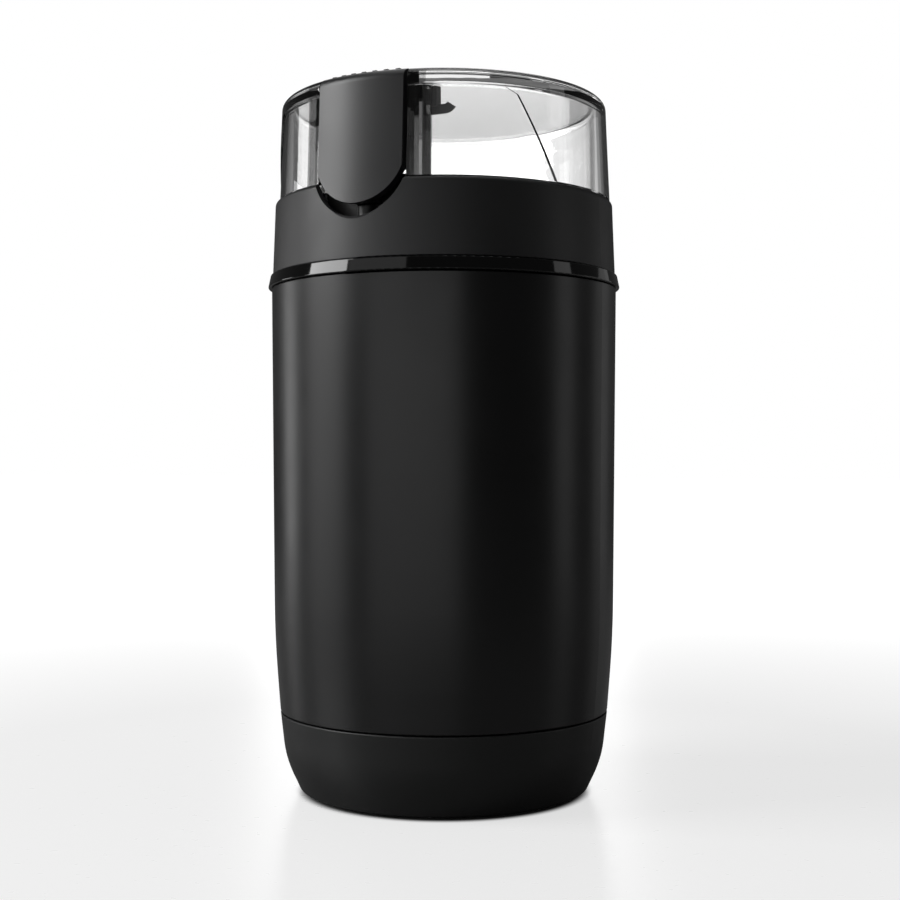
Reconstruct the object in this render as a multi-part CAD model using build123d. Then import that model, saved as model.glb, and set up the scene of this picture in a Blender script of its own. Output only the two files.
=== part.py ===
"""Blade coffee grinder with a clear lift-off lid and a press button, in millimetres.

The origin is on the floor under the middle of the grinder. +Z is up, and the
press button faces -Y. The housing carries the motor and the bowl. The lid drops
into the collar and carries the button, which pushes a plunger down onto a switch.
"""
import os
from math import atan2, cos, degrees, hypot, pi, radians, sin, sqrt, tan

from build123d import *

# Clearances
touch_gap = 0.3        # between surfaces of pieces that move past each other
seat_gap = 0.2         # a spigot or rim in its seat
running_gap = 0.08     # a pin, rod or shaft in its guide, on the radius
thread_gap = 0.05      # a screw in its pilot hole, on the radius

# Base cap, with its feet and screws
foot_proud = 0.8
foot_radius = 4.4
foot_thickness = 2.0
foot_circle = 29.0
foot_angle = 65.0
base_height = 19.7
base_floor = 2.4
base_wall = 2.4
base_bottom_draw = 5.15    # how far the base's foot is drawn in from the seam
base_bulge_draw = 1.35
base_bulge_height = 8.0
base_bulge_round = 35.0
base_edge_round = 1.2
spigot_height = 4.0
spigot_wall = 2.0
vent_count = 12
vent_width = 2.4
vent_inner = 8.0
vent_outer = 20.0
screw_circle = 28.5
screw_angle = 20.0
screw_radius = 1.45
screw_head_radius = 3.0
screw_head_height = 2.2
column_radius = 4.4
column_web = 3.2
base_screw_length = 15.0
recess_width = 0.7
seam_gap = 0.3

# Cord gland in the back of the base
gland_height = 11.2
gland_bore = 3.3
gland_neck = 4.5
gland_flange_radius = 6.2
gland_flange = 1.5
gland_seat_depth = 1.7
gland_boss_radius = 8.2
gland_boss_depth = 4.2
gland_barb = 0.7
gland_tail = 1.6
gland_slot = 0.8
gland_edge = 0.9

# Main housing
housing_height = 106.9
housing_wall = 2.2
side_room = 12.55          # from the bowl's inner wall to the housing's outer rim
housing_bottom_draw = 2.3  # how far the housing is drawn in below its rim
housing_waist_draw = 0.83
housing_waist_height = 18.6
housing_curve = 500.0
edge_break = 0.35
boss_height = 13.5
web_thickness = 1.8
lug_thickness = 2.7
lug_width = 8.8
lug_inset = 2.6
gusset_reach = 3.4
gusset_drop = 5.0
housing_inner_curve = 30.0

# Trim ring
trim_height = 3.2
trim_flare = 0.95          # proud of the housing at its lower edge
trim_lip = 0.55            # proud of the collar at its upper edge
trim_round = 0.3

# Collar
collar_height = 18.6
collar_step = 0.25
collar_draft = 0.7
collar_wall = 2.1
collar_round = 1.2
collar_foot = 2.5
tongue_wall = 1.4
tongue_depth = 9.4
ledge_width = 2.2
ledge_thickness = 2.4
ledge_slope = 1.3
pad_half = 4.0
notch_depth = 8.6
notch_bevel = 0.5
collar_screw_head = 2.6
collar_screw_length = 13.0

# Bowl, its gasket and its carrier
deck_drop = 9.9
deck_thickness = 2.0
gasket_thickness = 0.8
gasket_width = 1.8
bowl_radius = 31.5
bowl_wall = 0.6
bowl_depth = 40.0
bowl_corner = 10.0
bowl_rim_width = 2.6
hub_rise = 4.0
hub_radius = 6.6
hub_foot_radius = 10.5
cup_wall = 1.8
cup_floor = 2.4
cup_clearance = 0.8
cup_hole_radius = 8.0
carrier_boss_depth = 13.4
carrier_screw_depth = 10.0
backing_wall = 1.2         # of the black wall behind the notch
backing_side_gap = 0.4

# Lid
lid_height = 25.2
lid_step = 0.6
lid_draft = 1.1
lid_shoulder = 2.2
lid_skirt_depth = 8.5
lid_slip = 0.4
lid_skirt_wall = 1.8
lid_inner_draft = 0.4
lid_top_thickness = 2.8
lid_inner_round = 1.6
channel_wall = 2.0
channel_room = 2.0         # behind the plunger's head
channel_back_wall = 1.6
spring_shelf_height = 10.2
spring_shelf_thickness = 1.8
spring_shelf_half = 4.6
panel_depth = 0.5
panel_top_drop = 4.3
panel_bottom_inset = 3.5   # of the panel's slanted end, from the lid's widest
panel_middle_inset = 6.25
panel_top_inset = 9.8
panel_corner = 1.5
panel_corner_lean = 0.45
spring_rib = 0.7
spring_rib_drop = 5.0
spring_peg_inset = 0.6
neck_window_gap = 0.4

# Press button and the yoke that holds it in the lid
press_travel = 2.8
tab_half = 11.5
tab_side_gap = 0.6
tab_wall = 2.2
tab_proud = 0.45
tab_tip_radius = 12.2
tab_top_round = 2.6
tab_side_wall = 1.6
pad_thickness = 2.4
grip_count = 7
grip_pitch = 2.9
grip_width = 1.1
grip_height = 0.35
foot_rise = 0.6
button_foot_half = 3.0
button_foot_height = 3.0
foot_stiffener = 1.6
foot_stiffener_height = 9.0
neck_inner = 4.6
neck_outer = 8.2
neck_height = 2.7
neck_depth = 4.0
yoke_half = 15.3
yoke_depth = 2.2
yoke_height = 3.3
yoke_end_width = 3.6
yoke_end_height = 5.0
clip_drop = 1.0
clip_root = 2.4
clip_straight = 1.7
clip_reach = 3.4
clip_rise = 0.9
clip_thickness = 0.65

# Springs
button_spring_radius = 2.2
button_spring_wire = 0.6
button_spring_turns = 5
plunger_spring_radius = 2.4
plunger_spring_inner = 1.9
spring_bend = 1.2      # the bend at a spring's end, in wire diameters

# Plunger, switch and lever
plunger_radius = 2.2
plunger_head_length = 20.3
plunger_flange_radius = 2.9
plunger_flange = 1.8
rod_radius = 1.4
guide_wall = 0.9
guide_depth = 13.2
guide_shelf_drop = 12.2
guide_shelf = 2.0
guide_shelf_half = 3.6
guide_shelf_reach = 2.9
bracket_wall = 1.6
strap_half = 5.6
strap_rise = 6.0
switch_pin_rise = 3.0
switch_length = 19.8
switch_height = 10.2
switch_depth = 6.4
switch_top = 94.2
switch_setback = 1.2       # of the switch's middle, behind the plunger
switch_pin_radius = 1.15
switch_pin_spacing = 9.5
cradle_wall = 2.0
contact_thickness = 0.6
contact_width = 3.2
contact_length = 6.4
contact_spacing = 7.6
hinge_arm = 8.4
hinge_rise = 1.3
hinge_pin_radius = 0.5
hinge_eye_wall = 0.4
lever_length = 15.0
lever_width = 4.4
lever_thickness = 0.4
lever_angle = 15.0
ear_width = 2.4
ear_height = 1.0
actuator_arm = 2.6
actuator_radius = 0.9
actuator_rise = 1.45
actuator_travel = 0.6
actuator_grip = 1.8

# Motor
damper_height = 3.0
damper_radius = 5.0
mount_circle = 24.0
mount_boss_height = 3.8
mount_boss_radius = 4.6
bracket_plate = 3.0
bracket_arm_width = 9.0
bracket_hub_radius = 9.6
bearing_radius = 7.0
bearing_height = 5.0
bearing_cap = 1.2
hub_skirt = 1.0
shaft_hole_gap = 1.5
bolt_hole_gap = 0.15
mount_hole_gap = 0.4
bolt_head_radius = 2.8
mount_head_radius = 3.6
motor_head_height = 2.0
stator_length = 58.0
stator_width = 48.0
stator_height = 22.0
stator_frame = 6.0
stator_corner = 5.0
stator_bore = 15.6
pole_width = 16.0
pole_shoe = 2.8
motor_leg_radius = 4.5
motor_bolt_radius = 1.6
motor_bolt_inset = 4.2
upper_leg = 11.4
lower_leg = 16.0
coil_height = 6.2
coil_width = 3.6
coil_side = 6.4
coil_corner = 5.0
coil_window_corner = 0.8
coil_gap = 0.4
shaft_radius = 2.5
rotor_radius = 14.9
rotor_height = 20.0
rotor_slots = 12
rotor_slot_width = 1.8
rotor_slot_depth = 1.4
winding_height = 5.0
winding_radius = 12.8
commutator_radius = 8.5
commutator_height = 9.6
commutator_bars = 12
commutator_slot = 0.5
commutator_slot_depth = 0.6
brush_width = 6.2
brush_thickness = 4.6
brush_length = 11.0
brush_gap = 0.12
brush_spring_radius = 1.9
brush_spring_wall = 0.6
holder_wall = 0.7
holder_length = 16.0
holder_start = 0.9
holder_play = 0.05
holder_shelf = 1.2
holder_rail = 1.5
holder_post = 4.0
fan_radius = 22.0
fan_height = 6.4
fan_plate = 1.2
fan_blades = 11
fan_drop = 1.4
fan_hub_radius = 5.0
vane_thickness = 1.1
shaft_chamfer = 0.5
shaft_tail = 0.8

# Blade
blade_hub_radius = 6.2
blade_hub_height = 4.0
blade_hub_rise = 1.2
blade_thickness = 1.6
blade_span = 27.0
blade_root_width = 12.0
blade_tip_width = 8.5
blade_bend_radius = 11.0
blade_tip_rise = 3.6
blade_twist = 18.0
nut_across_flats = 8.0
nut_height = 4.2
nut_dome_round = 2.2
nut_crown = 1.2
seal_flange = 1.0
seal_radius = 6.2
seal_grip = 1.7
seal_lip = 1.4

# Electrical pieces on the base's floor
box_circle = 26.0
capacitor_length = 18.0
capacitor_depth = 8.0
capacitor_height = 13.0
terminal_length = 16.0
terminal_depth = 9.0
terminal_height = 9.0
terminal_well_radius = 1.8
terminal_well_depth = 3.0
box_edge = 1.0

# Heights, from the floor up
base_bottom = foot_proud
seam = base_bottom + base_height
housing_bottom = seam + seam_gap
housing_top = housing_bottom + housing_height
trim_top = housing_top + trim_height
collar_top = trim_top + collar_height
lid_bottom = collar_top + touch_gap
lid_top = lid_bottom + lid_height
deck_top = collar_top - deck_drop
deck_bottom = deck_top - deck_thickness
bowl_rim = deck_top + gasket_thickness + bowl_wall
bowl_floor = bowl_rim - bowl_depth
cup_floor_top = bowl_floor - bowl_wall - cup_clearance
cup_floor_bottom = cup_floor_top - cup_floor
notch_bottom = collar_top - notch_depth
tab_bottom = notch_bottom + press_travel + touch_gap
lid_ceiling = lid_top - lid_top_thickness
pad_bottom = lid_top - pad_thickness
shelf_top = pad_bottom - spring_shelf_height - seat_gap
button_foot_bottom = tab_bottom + foot_rise
plunger_top = button_foot_bottom - touch_gap
tongue_bottom = trim_top - tongue_depth

# Radii and places that follow from other pieces
housing_top_radius = bowl_radius + side_room
housing_waist_radius = housing_top_radius - housing_waist_draw
housing_bottom_radius = housing_top_radius - housing_bottom_draw
base_bulge_radius = housing_bottom_radius - base_bulge_draw
base_bottom_radius = housing_bottom_radius - base_bottom_draw
collar_bottom_radius = housing_top_radius - collar_step
collar_top_radius = collar_bottom_radius - collar_draft
trim_bottom_radius = housing_top_radius + trim_flare
trim_top_radius = collar_bottom_radius + trim_lip
lid_bottom_radius = collar_top_radius - lid_step
lid_top_radius = lid_bottom_radius - lid_draft
housing_inner_bottom = housing_bottom_radius - housing_wall
housing_inner_top = housing_top_radius - housing_wall
collar_inner = collar_top_radius - collar_wall
tongue_outer = housing_inner_top - touch_gap
tongue_inner = tongue_outer - tongue_wall
cup_inner = bowl_radius + bowl_wall + touch_gap
cup_outer = cup_inner + cup_wall
boss_circle = (cup_outer + tongue_inner) / 2
carrier_boss_radius = (tongue_inner - cup_outer) / 2 - touch_gap
plunger_place = (cup_outer + collar_inner) / 2
notch_radius = tab_tip_radius + tab_side_gap + touch_gap / 3
channel_half = tab_half + tab_side_gap
skirt_outer = collar_inner - lid_slip
skirt_inner = skirt_outer - lid_skirt_wall
lid_top_inner_radius = skirt_inner - lid_inner_draft
channel_back = plunger_place - plunger_radius - channel_room
switch_offset = plunger_place - switch_setback
mount_top = cup_floor_bottom - mount_boss_height
bracket_top = mount_top - damper_height
stator_top = bracket_top - bracket_plate - upper_leg
stator_bottom = stator_top - stator_height
lower_plate_bottom = stator_bottom - lower_leg - bracket_plate
commutator_bottom = lower_plate_bottom + bracket_plate + 1.0
rotor_bottom = (stator_top + stator_bottom - rotor_height) / 2
bolt_x = stator_length / 2 - motor_bolt_inset
bolt_y = stator_width / 2 - motor_bolt_inset
bolt_angle = degrees(atan2(bolt_y, bolt_x))


def turned(*corners):
    """A solid turned about Z from corners given as (radius, height) or (radius, height, rounding)."""
    points = [Vector(corner[0], 0, corner[1]) for corner in corners]
    rounding = []
    for number, corner in enumerate(corners):
        before = points[number - 1] - points[number]
        after = points[(number + 1) % len(points)] - points[number]
        half_turn = radians(180 - before.get_angle(after)) / 2
        most = 0.49 * min(before.length, after.length) / tan(half_turn)
        rounding.append(min(corner[2], most) if len(corner) > 2 else 0)
    return revolve(make_face(FilletPolyline(*points, radius=rounding, close=True)), Axis.Z)


def bar(radius, bottom, top, x=0.0, y=0.0):
    """An upright round bar."""
    return Pos(x, y, bottom) * Cylinder(radius, top - bottom, align=(Align.CENTER, Align.CENTER, Align.MIN))


def block(x, y, z):
    """A block between a low and a high limit along each axis."""
    middle = [(low + high) / 2 for low, high in (x, y, z)]
    size = [high - low for low, high in (x, y, z)]
    return Pos(*middle) * Box(*size)


def along_y(radius, front, back, x=0.0, z=0.0):
    """A round bar that lies along Y."""
    return Pos(x, (front + back) / 2, z) * Rot(90, 0, 0) * Cylinder(radius, back - front)


def around(shape, count, start=0.0):
    """Copies of a shape, evenly spaced about Z."""
    return [Rot(0, 0, start + 360 * step / count) * shape for step in range(count)]


def separate(shapes):
    """Loose solids that share one node."""
    return Compound(children=[solid for shape in shapes for solid in shape.solids()])


def biarc(start, start_way, end, end_way):
    """Two tangent arcs from one point to another, with a given direction at each."""
    chord = end - start
    ways = start_way + end_way
    spread = 2 * (1 - start_way.dot(end_way))
    reach = (sqrt(chord.dot(ways) ** 2 + spread * chord.dot(chord)) - chord.dot(ways)) / spread
    joint = (start + start_way * reach + end - end_way * reach) * 0.5
    joint_way = (end - end_way * reach - start - start_way * reach).normalized()
    return [TangentArc(start, joint, tangent=start_way), TangentArc(joint, end, tangent=joint_way)]


def coil_spring(radius, wire, turns, bottom, top, name):
    """A compression spring about Z, its ends bent upright to meet their seats squarely."""
    bend = wire * spring_bend
    low = bottom + wire + bend
    high = top - wire - bend
    rise = (high - low) / turns

    def on_helix(turn):
        angle = 2 * pi * turn
        return Vector(radius * cos(angle), radius * sin(angle), low + rise * turn)

    def along_helix(turn):
        angle = 2 * pi * turn
        return Vector(-radius * sin(angle), radius * cos(angle), rise / (2 * pi)).normalized()

    up = Vector(0, 0, 1)
    first = Vector(radius, -bend, bottom + wire)
    last = Vector(radius, bend, top - wire)
    edges = [Line(first - up * wire, first)]
    edges += biarc(first, up, on_helix(0), along_helix(0))
    for half in range(2 * turns):
        near = half / 2
        far = near + 0.5
        edges += biarc(on_helix(near), along_helix(near), on_helix(far), along_helix(far))
    edges += biarc(on_helix(turns), along_helix(turns), last, up)
    edges.append(Line(last, last + up * wire))
    path = Wire(edges)
    samples = 24 * turns
    line = [path.position_at(number / samples) for number in range(samples + 1)]
    apart = min(
        (line[a] - line[b]).length
        for a in range(samples + 1)
        for b in range(a + 12, samples + 1)
    )
    print(f"{name}: least gap to itself {apart - wire:.2f} mm")
    return sweep(Plane(origin=path @ 0, z_dir=up) * Circle(wire / 2), path=path)


def screw(head_radius, head_height, radius, length):
    """A pan-head screw that points up, with the seat of its head at z = 0."""
    return turned(
        (0, -head_height), (head_radius * 0.8, -head_height), (head_radius, -head_height * 0.7),
        (head_radius, 0), (radius, 0), (radius, length - radius), (0, length),
    )


def base_envelope():
    """The base cap's outer form, solid."""
    return turned(
        (0, base_bottom), (base_bottom_radius, base_bottom, base_edge_round),
        (base_bulge_radius, base_bottom + base_bulge_height, base_bulge_round),
        (housing_bottom_radius, seam, edge_break), (0, seam),
    )


def base_cap():
    """A tapered cup with a vented floor, screw columns, foot pockets and the gland's seat."""
    spigot_outer = housing_inner_bottom - seat_gap
    spigot_inner = spigot_outer - spigot_wall
    floor_top = base_bottom + base_floor
    hollow = turned(
        (0, floor_top), (base_bottom_radius - base_wall, floor_top, 1.5),
        (spigot_inner, base_bottom + base_bulge_height, 8),
        (spigot_inner, seam + spigot_height + 1), (0, seam + spigot_height + 1),
    )
    spigot = bar(spigot_outer, seam - 0.5, seam + spigot_height)
    seat = gland_seat()
    outside = housing_bottom_radius + 5
    shape = base_envelope() + spigot - hollow
    boss = along_y(gland_boss_radius, seat - gland_boss_depth, outside, 0, gland_height)
    shape += boss & base_envelope()
    shape -= along_y(gland_flange_radius + seat_gap, seat, outside, 0, gland_height)
    shape -= along_y(gland_neck + seat_gap / 2, seat - gland_boss_depth - 2, outside, 0, gland_height)
    head_seat = seam + seam_gap - column_web
    column = bar(column_radius, base_bottom + 0.5, seam + seam_gap, screw_circle)
    shape += around(column, 4, screw_angle)
    head_hole = bar(screw_head_radius + touch_gap, base_bottom - 1, head_seat, screw_circle)
    shape -= around(head_hole, 4, screw_angle)
    shape -= around(bar(screw_radius + seat_gap, base_bottom, seam + 1, screw_circle), 4, screw_angle)
    pocket = bar(foot_radius + seat_gap / 2, base_bottom - 1, foot_thickness, foot_circle)
    shape -= around(pocket, 4, foot_angle)
    through = (base_bottom - 1, floor_top + 1)
    vent = block((vent_inner, vent_outer), (-vent_width / 2, vent_width / 2), through)
    for end in (vent_inner, vent_outer):
        vent += bar(vent_width / 2, *through, end)
    return shape - around(vent, vent_count)


def gland_seat():
    """How far back the flat seat of the cord gland lies."""
    return base_bulge_radius - gland_seat_depth


def cord_bush():
    """The snap-in gland that the cord passes through."""
    seat = gland_seat()
    inner = seat - gland_boss_depth
    tail = inner - gland_tail
    barb = gland_neck + gland_barb
    front = seat + gland_flange
    profile = turned(
        (gland_bore, tail), (gland_neck - 0.6, tail), (barb, inner - 0.4), (barb, inner),
        (gland_neck, inner), (gland_neck, seat), (gland_flange_radius, seat),
        (gland_flange_radius, seat + gland_flange / 2), (gland_flange_radius - gland_flange / 2, front),
        (gland_bore + gland_edge, front), (gland_bore, front - gland_edge),
    )
    slot = Box(gland_slot, 4 * gland_neck, 2 * (gland_tail - 0.1))
    profile -= Pos(0, 0, tail + 1.0) * slot
    return Pos(0, 0, gland_height) * Rot(-90, 0, 0) * profile


def rubber_feet():
    """Four rubber discs, pressed into their pockets."""
    edge = foot_proud / 2
    foot = turned(
        (0, 0), (foot_radius - edge, 0), (foot_radius, edge), (foot_radius, foot_thickness),
        (0, foot_thickness),
    )
    return separate(around(Pos(foot_circle, 0, 0) * foot, 4, foot_angle))


def base_screws():
    """Four screws that go up through the base's columns into the housing, with cross recesses."""
    head_seat = seam + seam_gap - column_web
    one = screw(screw_head_radius, screw_head_height, screw_radius, base_screw_length)
    arm = screw_head_radius * 1.1
    depth = screw_head_height / 2
    recess = Box(arm, recess_width, depth) + Box(recess_width, arm, depth)
    one -= Pos(0, 0, -screw_head_height + depth / 2) * recess
    return separate(around(Pos(screw_circle, 0, head_seat) * one, 4, screw_angle))


def main_housing():
    """The tapered sleeve, with bosses for the base screws and lugs for the collar screws."""
    waist = housing_bottom + housing_waist_height
    shape = turned(
        (housing_bottom_radius, housing_bottom, edge_break), (housing_waist_radius, waist, housing_curve),
        (housing_top_radius, housing_top, edge_break), (housing_inner_top, housing_top),
        (housing_waist_radius - housing_wall, waist, housing_inner_curve),
        (housing_inner_bottom, housing_bottom),
    )
    boss_bottom = seam + seam_gap
    boss_top = boss_bottom + boss_height
    web_bottom = seam + spigot_height + touch_gap
    boss = bar(column_radius - 0.2, boss_bottom, boss_top, screw_circle)
    half_web = web_thickness / 2
    web = block((screw_circle, housing_bottom_radius - 0.8), (-half_web, half_web), (web_bottom, boss_top))
    shape += around(boss + web, 4, screw_angle)
    pilot = bar(screw_radius + thread_gap, boss_bottom - 1, boss_top - 1.5, screw_circle)
    shape -= around(pilot, 4, screw_angle)
    lug_top = tongue_bottom
    lug_bottom = lug_top - lug_thickness
    half_lug = lug_width / 2
    buried = housing_inner_top + 0.8
    lug_sides = (boss_circle - lug_inset, housing_top_radius - 0.8)
    lug = block(lug_sides, (-half_lug, half_lug), (lug_bottom, lug_top))
    gusset_face = make_face(Polyline(
        (housing_inner_top - gusset_reach, 0, lug_bottom), (buried, 0, lug_bottom),
        (buried, 0, lug_bottom - gusset_drop), close=True,
    ))
    gusset = extrude(gusset_face, half_web, both=True)
    for side in (-1, 1):
        lug += Pos(0, side * (half_lug - half_web), 0) * gusset
    shape += around(lug, 3, 90)
    return shape - around(bar(screw_radius + seat_gap, lug_top - 5, lug_top + 1, boss_circle), 3, 90)


def collar_screws():
    """Three screws that go up through the housing's lugs and the collar's pads into the carrier."""
    one = screw(collar_screw_head, screw_head_height, screw_radius, collar_screw_length)
    return separate(around(Pos(boss_circle, 0, tongue_bottom - lug_thickness) * one, 3, 90))


def pad_height():
    """The thickness of the pads inside the collar's tongue."""
    return deck_thickness + 0.4


def trim_ring():
    """The glossy band, flared towards its lower edge."""
    inner = tongue_outer + seat_gap
    return turned(
        (inner, housing_top), (trim_bottom_radius, housing_top, trim_round),
        (trim_top_radius, trim_top, trim_round), (inner, trim_top),
    )


def collar():
    """The ring round the lid, with its tongue in the housing, a ledge for the carrier and the notch."""
    ledge_inner = collar_inner - ledge_width
    ledge_bottom = deck_bottom - ledge_thickness
    shape = turned(
        (collar_bottom_radius, trim_top, edge_break), (collar_top_radius, collar_top, collar_round),
        (collar_inner, collar_top, 0.4), (collar_inner, deck_bottom), (ledge_inner, deck_bottom),
        (ledge_inner, ledge_bottom), (tongue_inner, ledge_bottom - ledge_slope),
        (tongue_inner, tongue_bottom), (tongue_outer, tongue_bottom), (tongue_outer, trim_top),
    )
    pad_top = tongue_bottom + pad_height()
    pad = block((cup_outer + touch_gap, tongue_inner + 0.4), (-pad_half, pad_half), (tongue_bottom, pad_top))
    pad -= bar(screw_radius + seat_gap, tongue_bottom - 1, deck_bottom, boss_circle)
    shape += around(pad, 3, 90)
    shape -= around(bar(carrier_boss_radius + seat_gap, pad_top, deck_bottom + 1, boss_circle), 3, 90)
    guide_room = plunger_radius + running_gap + guide_wall + seat_gap
    shape -= bar(guide_room, tongue_bottom - 1, deck_bottom + 1, 0, -plunger_place)
    notch_middle = notch_bottom + notch_radius
    shape -= along_y(notch_radius, -2 * collar_top_radius, 5 - collar_inner, 0, notch_middle)
    front = collar_top_radius + 0.2
    bevel = Cone(notch_radius, notch_radius + notch_bevel * 4, notch_bevel * 4)
    return shape - Pos(0, -front - notch_bevel, notch_middle) * Rot(90, 0, 0) * bevel


def bowl_carrier():
    """The cup and deck under the bowl, with the plunger's guide and the motor's seats."""
    deck_outer = collar_inner - seat_gap
    inner_corner = outer_corner() - cup_wall
    cup = turned(
        (cup_hole_radius, cup_floor_bottom), (cup_outer, cup_floor_bottom, outer_corner()),
        (cup_outer, deck_bottom), (deck_outer, deck_bottom), (deck_outer, deck_top),
        (cup_inner, deck_top), (cup_inner, cup_floor_top, inner_corner), (cup_hole_radius, cup_floor_top),
    )
    cavity = turned(
        (0, cup_floor_top), (cup_inner, cup_floor_top, inner_corner), (cup_inner, deck_top + 1),
        (0, deck_top + 1),
    )
    boss_bottom = tongue_bottom + pad_height() + seat_gap / 2
    boss = bar(carrier_boss_radius, boss_bottom, deck_bottom + 0.5, boss_circle)
    half_web = web_thickness / 2
    boss += block((cup_outer - 0.5, boss_circle), (-half_web, half_web), (boss_bottom, deck_bottom))
    cup += around(boss, 3, 90)
    hole = bar(screw_radius + thread_gap, boss_bottom - 1, boss_bottom + carrier_screw_depth, boss_circle)
    cup -= around(hole, 3, 90)
    cup += notch_backing()
    guide_radius = plunger_radius + running_gap
    cup += bar(guide_radius + guide_wall, deck_bottom - guide_depth, deck_bottom + 0.5, 0, -plunger_place)
    cup += at_mounts(bar(mount_boss_radius, mount_top, cup_floor_top + 1))
    cup -= cavity
    cup -= bar(guide_radius, deck_bottom - guide_depth - 1, lid_bottom, 0, -plunger_place)
    return cup - at_mounts(bar(screw_radius + thread_gap, mount_top - 1, cup_floor_bottom + 1.2))


def notch_backing():
    """The wall that stands on the deck behind the notch, low in the middle for the button's foot."""
    rear = bowl_radius + bowl_wall + bowl_rim_width + touch_gap
    front = rear + backing_wall
    half = channel_half - backing_side_gap
    foot_room = button_foot_half + backing_side_gap
    sill = button_foot_bottom - press_travel - touch_gap
    wall = block((-half, half), (-front, -rear), (deck_bottom + 0.5, lid_bottom - lid_slip - 1))
    return wall - block((-foot_room, foot_room), (-front - 1, 1 - rear), (sill, lid_bottom))


def switch_bracket():
    """The bracket on the cup's front: a shelf that guides the rod, and a plate with two switch pins."""
    shelf_low = guide_shelf_bottom()
    shelf_high = shelf_low + guide_shelf
    plate_front = switch_offset - switch_depth / 2
    plate_rear = plate_front - cradle_wall
    plate_low = switch_top - switch_height + 1
    strap_low = switch_top + strap_rise
    pin_height = switch_top - switch_height + switch_pin_rise
    pin_tip = plate_front + switch_depth - 1
    shelf_front = plunger_place + guide_shelf_reach
    half = switch_length / 2
    shape = block((-half, half), (-plate_front, -plate_rear), (plate_low, strap_low + 1))
    strap_front = cup_outer + bracket_wall
    shape += block((-strap_half, strap_half), (-strap_front, -plate_rear), (strap_low, shelf_high))
    shelf_half = guide_shelf_half
    shape += block((-shelf_half, shelf_half), (-shelf_front, -plate_rear), (shelf_low, shelf_high))
    shape -= turned(
        (0, cup_floor_bottom), (cup_outer, cup_floor_bottom, outer_corner()), (cup_outer, deck_top),
        (0, deck_top),
    )
    for side in (-1, 1):
        pin_x = side * switch_pin_spacing / 2
        shape += along_y(switch_pin_radius, -pin_tip, -plate_rear - 0.5, pin_x, pin_height)
    return shape - bar(rod_radius + running_gap, shelf_low - 1, shelf_high + 1, 0, -plunger_place)


def outer_corner():
    """The rounding of the cup's lower edge."""
    return bowl_corner + bowl_wall + touch_gap + cup_wall


def guide_shelf_bottom():
    """The underside of the shelf that guides the plunger's rod and carries its spring."""
    return plunger_top - plunger_head_length - plunger_flange - guide_shelf_drop - guide_shelf


def grinding_bowl():
    """A drawn steel bowl with a flat rim and a raised hub."""
    outer = bowl_radius + bowl_wall
    rim_outer = outer + bowl_rim_width
    rim_low = bowl_rim - bowl_wall
    floor_low = bowl_floor - bowl_wall
    hub_top = bowl_floor + hub_rise
    hole = seal_neck() + seat_gap / 2
    return turned(
        (bowl_radius, bowl_rim), (rim_outer, bowl_rim), (rim_outer, rim_low), (outer, rim_low),
        (outer, floor_low, bowl_corner + bowl_wall), (hub_foot_radius, floor_low),
        (hub_radius, hub_top - bowl_wall), (hole, hub_top - bowl_wall), (hole, hub_top),
        (hub_radius + bowl_wall, hub_top), (hub_foot_radius + bowl_wall, bowl_floor),
        (bowl_radius, bowl_floor, bowl_corner),
    )


def seal_neck():
    """The radius of the shaft seal where the bowl's hub grips it."""
    return shaft_radius + seal_grip


def bowl_gasket():
    """The rubber ring between the bowl's rim and the deck."""
    inner = bowl_radius + bowl_wall + 0.4
    outer = inner + gasket_width
    top = bowl_rim - bowl_wall
    return turned((inner, deck_top), (outer, deck_top), (outer, top), (inner, top))


def shaft_seal():
    """A rubber grommet that closes the gap between bowl and shaft."""
    hub_top = bowl_floor + hub_rise
    hub_low = hub_top - bowl_wall
    bore = shaft_radius + running_gap
    lip = seal_neck() + seal_lip
    return turned(
        (bore, hub_low - seal_flange), (lip, hub_low - seal_flange), (lip, hub_low),
        (seal_neck(), hub_low), (seal_neck(), hub_top), (seal_radius, hub_top),
        (seal_radius, hub_top + seal_flange / 2), (bore, hub_top + seal_flange),
    )


def lid_envelope():
    """The lid's outer form, solid."""
    skirt_bottom = lid_bottom - lid_skirt_depth
    return turned(
        (0, skirt_bottom), (skirt_outer, skirt_bottom, 0.4), (skirt_outer, lid_bottom),
        (lid_bottom_radius, lid_bottom), (lid_top_radius, lid_top, lid_shoulder), (0, lid_top),
    )


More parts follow.
